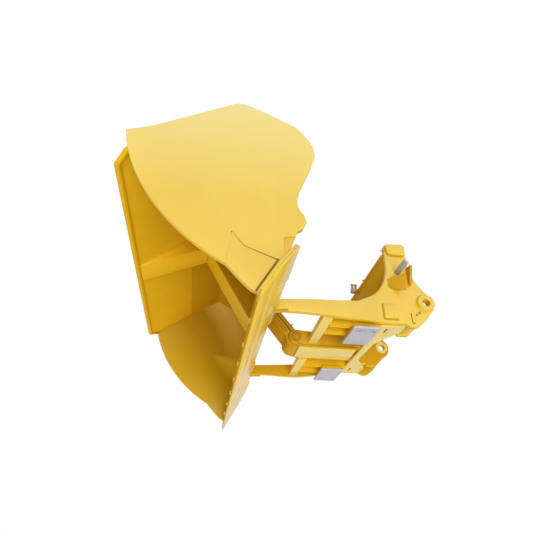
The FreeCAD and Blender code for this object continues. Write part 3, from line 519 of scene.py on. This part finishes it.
bm = bmesh.new()
for at, toward in nipple["bothSides"]:
    greaseNipple(bm, at, toward)
bothSides(bm)
greaseNipple(bm, *nipple["oneSide"])
place("greaseNipples", bm, "carrier", "fitting_metal", "grease_fittings")

# port block of the hoses: a block, and two unions with nuts, threads and blind caps
port = {"x": -0.060, "half": 0.022, "back": -0.287, "front": -0.349, "low": 0.415,
        "high": 0.452, "round": 0.003, "first": -0.333, "pitch": 0.032, "ports": 2,
        "stem": 0.0105, "rise": 0.052, "stemCut": 0.004, "steps": 24,
        "nut": 0.0150, "nutT": 0.012, "cap": 0.0148, "capT": 0.016,
        "threads": 4, "threadFrom": 0.016, "threadPitch": 0.005, "threadOut": 0.0012,
        "threadT": 0.0024, "threadRound": 0.0006}
size = (port["half"] * 2, port["back"] - port["front"], port["high"] - port["low"])
centre = (port["x"], (port["back"] + port["front"]) / 2, (port["high"] + port["low"]) / 2)
bm = bmesh.new()
bmesh.ops.create_cube(bm, size=1, matrix=Matrix.Translation(centre) @ Matrix.Diagonal(size + (1,)))
breakEdges(bm, bm.edges[:], port["round"], 2)
for i in range(port["ports"]):
    at = Matrix.Translation((port["x"], port["first"] + i * port["pitch"], port["high"]))
    hexHead(bm, at, port["nut"], port["nutT"])
    bmesh.ops.create_cone(bm, cap_ends=True, segments=port["steps"], radius1=port["stem"],
                          radius2=port["stem"], depth=port["rise"] - port["stemCut"],
                          matrix=raised(at, port["rise"] / 2))
    for k in range(port["threads"]):
        hexHead(bm, raised(at, port["threadFrom"] + k * port["threadPitch"]),
                port["stem"] + port["threadOut"], port["threadT"], port["steps"],
                port["threadRound"])
    hexHead(bm, raised(at, port["rise"] - port["capT"]), port["cap"], port["capT"])
place("hosePorts", bm, "carrier", "fitting_metal", "hose_couplings")

# bolts of the cutting edge, placed with the bucket level: the washer, the nut and the end
# of the thread, each as its base, radius, height, sides and chamfer
edgeBolt = {"eachSide": 3, "pitch": 0.385, "y": -0.358, "z": -0.018,
            "stack": [(0, 0.028, 0.004, 28, 0.001), (0.004, 0.025, 0.015, 6, 0.0025),
                      (0.018, 0.0125, 0.006, 20, 0.0015)]}
bm = bmesh.new()
for i in range(-edgeBolt["eachSide"], edgeBolt["eachSide"] + 1):
    at = levelToRest @ Matrix.Translation((i * edgeBolt["pitch"], edgeBolt["y"], edgeBolt["z"]))
    for base, radius, height, sides, chamfer in edgeBolt["stack"]:
        hexHead(bm, raised(at, base), radius, height, sides, chamfer)
place("edgeNuts", bm, "bucket", "gold_paint", "edge_bolts")

# socket screws of the skid pads, sunk in their holes: a sloped rim, a flat land and a socket
screw = {"x": 0.583, "ys": (-0.445, -0.555), "face": -0.258, "sink": 0.003, "r": 0.0118,
         "rim": 0.0022, "rimT": 0.0008, "land": 0.0025, "socket": 0.005, "body": 0.006,
         "steps": 24}
bm = bmesh.new()
for y in screw["ys"]:
    seat = Matrix.Translation((screw["x"], y, screw["face"] + screw["sink"]))
    ring = bmesh.ops.create_circle(bm, cap_ends=True, segments=screw["steps"],
                                   radius=screw["r"], matrix=seat @ Matrix.Rotation(pi, 4, "X"))
    face = ring["verts"][0].link_faces[0]
    bmesh.ops.inset_region(bm, faces=[face], thickness=screw["rim"], depth=screw["rimT"])
    bmesh.ops.inset_region(bm, faces=[face], thickness=screw["land"])
    low = newVerts(bmesh.ops.extrude_face_region(bm, geom=[face]))
    bmesh.ops.translate(bm, verts=low, vec=(0, 0, screw["socket"]))
    bmesh.ops.delete(bm, geom=[face], context="FACES")
    walls = [edge for edge in bm.edges if edge.is_boundary]
    low = newVerts(bmesh.ops.extrude_edge_only(bm, edges=walls))
    bmesh.ops.translate(bm, verts=low, vec=(0, 0, screw["body"]))
    bmesh.ops.holes_fill(bm, edges=[edge for edge in bm.edges if edge.is_boundary])
bmesh.ops.recalc_face_normals(bm, faces=bm.faces)
bothSides(bm)
place("socketScrews", bm, "carrier", "machined_steel", "skid_bolts")
print("pins, bolts and fittings done")

# weld beads: a small round run along each seam, its ripples as rings of changing size
weld = {"r": 0.0045, "sides": 6, "pitch": 0.009, "swell": 1.25, "shrink": 0.8}


def bead(bm, start, end, radius):
    start, end = Vector(start), Vector(end)
    run = end - start
    steps = max(2, int(run.length / weld["pitch"]))
    turn = run.to_track_quat("Z", "Y").to_matrix().to_4x4()
    ring = bmesh.ops.create_circle(bm, cap_ends=False, segments=weld["sides"], radius=radius,
                                   matrix=Matrix.Translation(start) @ turn)
    edges = list({edge for vert in ring["verts"] for edge in vert.link_edges})
    bmesh.ops.holes_fill(bm, edges=edges)
    centre = start.copy()
    for i in range(steps):
        made = bmesh.ops.extrude_edge_only(bm, edges=edges)
        verts = newVerts(made)
        edges = [part for part in made["geom"] if isinstance(part, bmesh.types.BMEdge)
                 and all(vert in verts for vert in part.verts)]
        bmesh.ops.translate(bm, verts=verts, vec=run / steps)
        centre += run / steps
        swell = weld["swell"] if i % 2 == 0 else weld["shrink"]
        bmesh.ops.scale(bm, verts=verts, vec=(swell,) * 3, space=Matrix.Translation(-centre))
    bmesh.ops.holes_fill(bm, edges=edges)


def beads(name, body, lines, matrix=None, radius=weld["r"], look=None):
    # one piece from the runs of all lines, on both sides of the machine
    bm = bmesh.new()
    for line in lines:
        for start, end in zip(line, line[1:]):
            bead(bm, start, end, radius)
    if matrix:
        bm.transform(matrix)
    bmesh.ops.recalc_face_normals(bm, faces=bm.faces)
    bothSides(bm)
    place(name, bm, body, "gold_paint", look=look)


plateZ = (-0.180, -0.164)      # top of the bottom plate, in front and behind
beads("carrierWelds", "carrier", [
    # inner ear on the bottom plate, and the centre arm's foot beside it
    [(0.350, -0.360, plateZ[0]), (0.350, -0.166, plateZ[1])],
    [(0.390, -0.360, plateZ[0]), (0.390, -0.166, plateZ[1])],
    [(0.150, -0.385, plateZ[0]), (0.150, -0.300, -0.175)],
    # box beam against the horn, below and above
    [(0.560, -0.270, 0.215), (0.560, -0.124, 0.215)],
    [(0.560, -0.284, 0.430), (0.560, -0.284, 0.450), (0.560, -0.124, 0.450)],
    # ribs of the bay, and both ends of the box tie in front of them
    [(0.3775, -0.762, -0.115), (0.3775, -0.366, -0.030)],
    [(0.4025, -0.762, -0.115), (0.4025, -0.366, -0.030)],
    [(0.535, -0.762, -0.212), (0.535, -0.600, -0.212)],
    [(0.150, -0.838, -0.205), (0.150, -0.838, -0.155)],
    [(0.698, -0.836, -0.205), (0.698, -0.836, -0.157)],
    # rear plate of the bracket, and the cover between the centre arms
    [(0.605, -0.112, 0.151), (0.605, -0.112, 0.300)],
    [(0.122, -0.868, -0.2225), (0.122, -0.417, -0.2225)],
])
# edges of the top stiffener and of the tunnel's front plate, with the bucket level
beads("plateSeams", "bucket", [
    [(0.130, 0.030, 1.175), (0.130, 0.470, 0.990)],
    [(0.128, 0.085, 0.140), (0.128, 0.478, 0.818)],
], matrix=levelToRest)
# painted shadow lines: dark beads round the cutters, with the bucket level, and in the ears'
# creases
beads("cutterShadowLines", "bucket", [
    [(1.502, -0.119, 0.315), (1.502, -0.162, 0.206), (1.502, -0.129, 0.004)],
    [(1.5135, -0.128, 0.006), (1.5135, -0.366, 0.008)],
], matrix=levelToRest, radius=0.0046, look="seam")
beads("earCreaseShadows", "carrier", [
    [(0.606, -0.131, -0.089), (0.606, -0.129, -0.172), (0.606, -0.106, -0.174)],
], radius=0.0035, look="seam")

# the nose of each centre arm: dark beads as painted shadow lines, rings on the pivot pin's
# cap, and a contour that turns round the nose, in degrees, and runs back along the lower rim
nose = {"rings": (0.021, 0.0395), "x": 0.1505, "rim": 0.0545, "first": 20, "last": 215,
        "lowerRim": [(0.1505, -0.884, -0.216), (0.1505, -0.420, -0.217)], "steps": 20}


def arc(x, radius, first, last):
    span = (last - first) / nose["steps"]
    angles = [radians(first + span * i) for i in range(nose["steps"] + 1)]
    return [(x, pivot.y + radius * cos(a), pivot.z + radius * sin(a)) for a in angles]


rings = [arc(cap["end"] - cap["sink"], radius, 0, 360) for radius in nose["rings"]]
contour = arc(nose["x"], nose["rim"], nose["first"], nose["last"]) + nose["lowerRim"]
beads("noseShadeRings", "carrier", rings + [contour], radius=0.0036, look="seam")

# dark strips along the guards of the cylinder as painted shadow lines, and a bleed screw on
# the upper one
strip = {"x": 0.1115, "ys": (-0.036, -0.014, 0.020, 0.040), "from": 0.085, "to": 0.46}
bleed = {"at": (0.085, 0.048, 0.115), "head": 0.011, "headT": 0.012, "stem": 0.006,
         "stemT": 0.012, "steps": 16, "chamfer": 0.001}
beads("guardShadeLines", "cylinder",
      [[(strip["x"], y, strip["from"]), (strip["x"], y, strip["to"])] for y in strip["ys"]],
      matrix=aimed, radius=0.0034, look="seam")
bm = bmesh.new()
at = aimed @ Matrix.Translation(bleed["at"]) @ Matrix.Rotation(-pi / 2, 4, "X")
hexHead(bm, at, bleed["head"], bleed["headT"])
hexHead(bm, raised(at, bleed["headT"]), bleed["stem"], bleed["stemT"], bleed["steps"],
        bleed["chamfer"])
place("bleedScrew", bm, "cylinder", "fitting_metal")

# broad fillets beside the ear's pad, the horn's block and the doubler of the arm's tip, in a
# darker gold that paints the shade along their sides
beads("padShadeFillets", "carrier", [
    [(0.608, -0.352, -0.029), (0.608, -0.352, -0.153), (0.608, -0.238, -0.153)],
    [(0.608, -0.261, 0.506), (0.608, -0.259, 0.450), (0.608, -0.249, 0.429),
     (0.608, -0.228, 0.421), (0.608, -0.118, 0.421)],
    [(0.748, -1.240, -0.214), (0.748, -1.113, -0.208)],
], radius=0.0080, look="filletShade")
print("seams done")

# camera: placed by the matching points of both sides in the photograph
view = {"focal": 450, "frame": 533, "sensor": 36, "farClip": 100,
        "at": (3.545, -1.65935, -1.56591), "right": (0.14233, 0.98980, 0.00676),
        "up": (0.50995, -0.07918, 0.85655), "back": (0.84835, -0.11847, -0.51602)}
camera = bpy.data.cameras.new("camera")
camera.lens = view["sensor"] * view["focal"] / view["frame"]
camera.sensor_width = view["sensor"]
camera.clip_end = view["farClip"]
seen = bpy.data.objects.new("camera", camera)
bpy.context.collection.objects.link(seen)
turn = Matrix((view["right"], view["up"], view["back"])).transposed().to_4x4()
seen.matrix_world = Matrix.Translation(view["at"]) @ turn
bpy.context.scene.camera = seen
bpy.context.scene.view_settings.view_transform = "Standard"

# stage: a pale floor far under the object, a soft sky and two broad lamps; the sky and the
# white that is seen behind the object as colour and strength, the lamps as the direction
# they shine from, power and spread in degrees
stage = {"floorZ": -2.6, "floorSize": 30.0, "floorTone": (0.9, 0.9, 0.9, 1), "floorRough": 0.9,
         "sky": ((1, 0.985, 0.96, 1), 0.50), "white": ((1, 1, 1, 1), 1.0),
         "key": ((0.93, 0.0, -0.36), 1.9, 30), "fill": ((0.1, 0.0, -1.0), 1.12, 70)}
mesh = bpy.data.meshes.new("floor")
bm = bmesh.new()
bmesh.ops.create_grid(bm, x_segments=1, y_segments=1, size=stage["floorSize"] / 2)
bmesh.ops.translate(bm, verts=bm.verts, vec=(0, 0, stage["floorZ"]))
bm.to_mesh(mesh)
bm.free()
floor = bpy.data.objects.new("floor", mesh)
bpy.context.collection.objects.link(floor)
floorLook = Look(bpy.data.materials.new("floorLook"))
floorLook.set(Base_Color=stage["floorTone"], Roughness=stage["floorRough"])
mesh.materials.append(floorLook.owner)
floor.visible_shadow = False

# the sky lights the object, while the camera and its reflections see plain white
sky = Look(bpy.data.worlds.new("sky"))
sky.tree.nodes.clear()
rays = sky.node("ShaderNodeLightPath", out="Is Camera Ray")
direct = rays.join("MAXIMUM", rays.also("Is Glossy Ray"))
dim, bright = [sky.node("ShaderNodeBackground", {}, {"Color": colour, "Strength": strength})
               for colour, strength in (stage["sky"], stage["white"])]
blend = sky.node("ShaderNodeMixShader", {}, {0: direct, 1: dim, 2: bright})
sky.feed(sky.tree.nodes.new("ShaderNodeOutputWorld").inputs["Surface"], blend)
bpy.context.scene.world = sky.owner


def sun(name, source, power, spread):
    # a broad lamp that shines from the direction of its source
    lamp = bpy.data.lights.new(name, "SUN")
    lamp.energy = power
    lamp.angle = radians(spread)
    held = bpy.data.objects.new(name, lamp)
    held.rotation_mode = "QUATERNION"
    held.rotation_quaternion = (-Vector(source)).to_track_quat("-Z", "Y")
    bpy.context.collection.objects.link(held)


sun("keyLamp", *stage["key"])
sun("fillLamp", *stage["fill"])
print("camera and lamps done")
